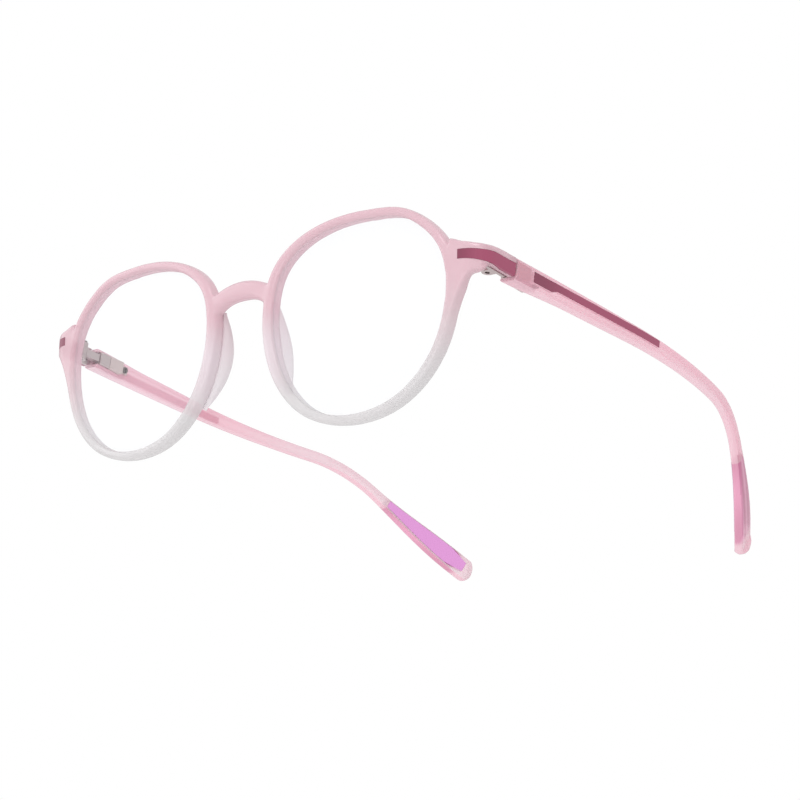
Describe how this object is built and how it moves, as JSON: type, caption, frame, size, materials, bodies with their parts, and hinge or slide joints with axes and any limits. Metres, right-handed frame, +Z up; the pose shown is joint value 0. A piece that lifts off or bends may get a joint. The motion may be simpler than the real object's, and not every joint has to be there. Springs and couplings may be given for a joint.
{
  "type": "blue light glasses",
  "caption": "Round crown blue light spectacles: clear plano lenses, pink to clear frame, inlaid temples on spring hinges.",
  "frame": {"origin": "bottom centre of the resting glasses' box: the plane that the rims and tips rest on, midway along X and Y", "axes": "+Z up, -Y the way the wearer looks, +X to the wearer's left"},
  "size_m": [0.1418, 0.1444, 0.0469],
  "materials": {
    "frame_plastic": "polished, see-through",
    "pad_plastic": "polished, milky",
    "lens_plastic": "clear",
    "inlay": "satin",
    "tip_rubber": "matt",
    "hinge_steel": "satin",
    "housing_metal": "satin",
    "screw_steel": "dark"
  },
  "bodies": {
    "front": {"front_frame": "frame_plastic", "left_lens": "lens_plastic", "left_nose_pad": "pad_plastic", "left_endpiece_inlay": "inlay", "left_hinge_leaf": "hinge_steel", "left_leaf_screw": "screw_steel", "left_pivot_screw": "screw_steel", "right_lens": "lens_plastic", "right_nose_pad": "pad_plastic", "right_endpiece_inlay": "inlay", "right_hinge_leaf": "hinge_steel", "right_leaf_screw": "screw_steel", "right_pivot_screw": "screw_steel"},
    "left_slider": {"left_hinge_slider": "hinge_steel", "left_slider_nut": "screw_steel"},
    "left_temple": {"left_temple_arm": "frame_plastic", "left_temple_inlay": "inlay", "left_tip_pad": "tip_rubber", "left_spring_guide": "hinge_steel", "left_spring_housing": "housing_metal", "left_housing_screw": "screw_steel", "left_hinge_spring": "screw_steel"},
    "right_slider": {"right_hinge_slider": "hinge_steel", "right_slider_nut": "screw_steel"},
    "right_temple": {"right_temple_arm": "frame_plastic", "right_temple_inlay": "inlay", "right_tip_pad": "tip_rubber", "right_spring_guide": "hinge_steel", "right_spring_housing": "housing_metal", "right_housing_screw": "screw_steel", "right_hinge_spring": "screw_steel"}
  },
  "joints": [
    {"name": "left_fold", "type": "hinge", "parent": "front", "child": "left_slider", "pos_m": [0.0642, -0.06159, 0.03256], "axis": [0, 0.0608, 0.9981], "range_deg": [-6, 82.5]},
    {"name": "left_spring_slide", "type": "slide", "parent": "left_slider", "child": "left_temple", "axis": [0, 0.9981, -0.0608], "range_m": [0, 0.0012], "stiffness_N_per_m": 4000, "springref_m": -0.0003, "deforming": ["left_hinge_spring"]},
    {"name": "right_fold", "type": "hinge", "parent": "front", "child": "right_slider", "pos_m": [-0.0642, -0.06159, 0.03256], "axis": [0, -0.0608, -0.9981], "range_deg": [-6, 70]},
    {"name": "right_spring_slide", "type": "slide", "parent": "right_slider", "child": "right_temple", "axis": [0, 0.9981, -0.0608], "range_m": [0, 0.0012], "stiffness_N_per_m": 4000, "springref_m": -0.0003, "deforming": ["right_hinge_spring"]}
  ]
}
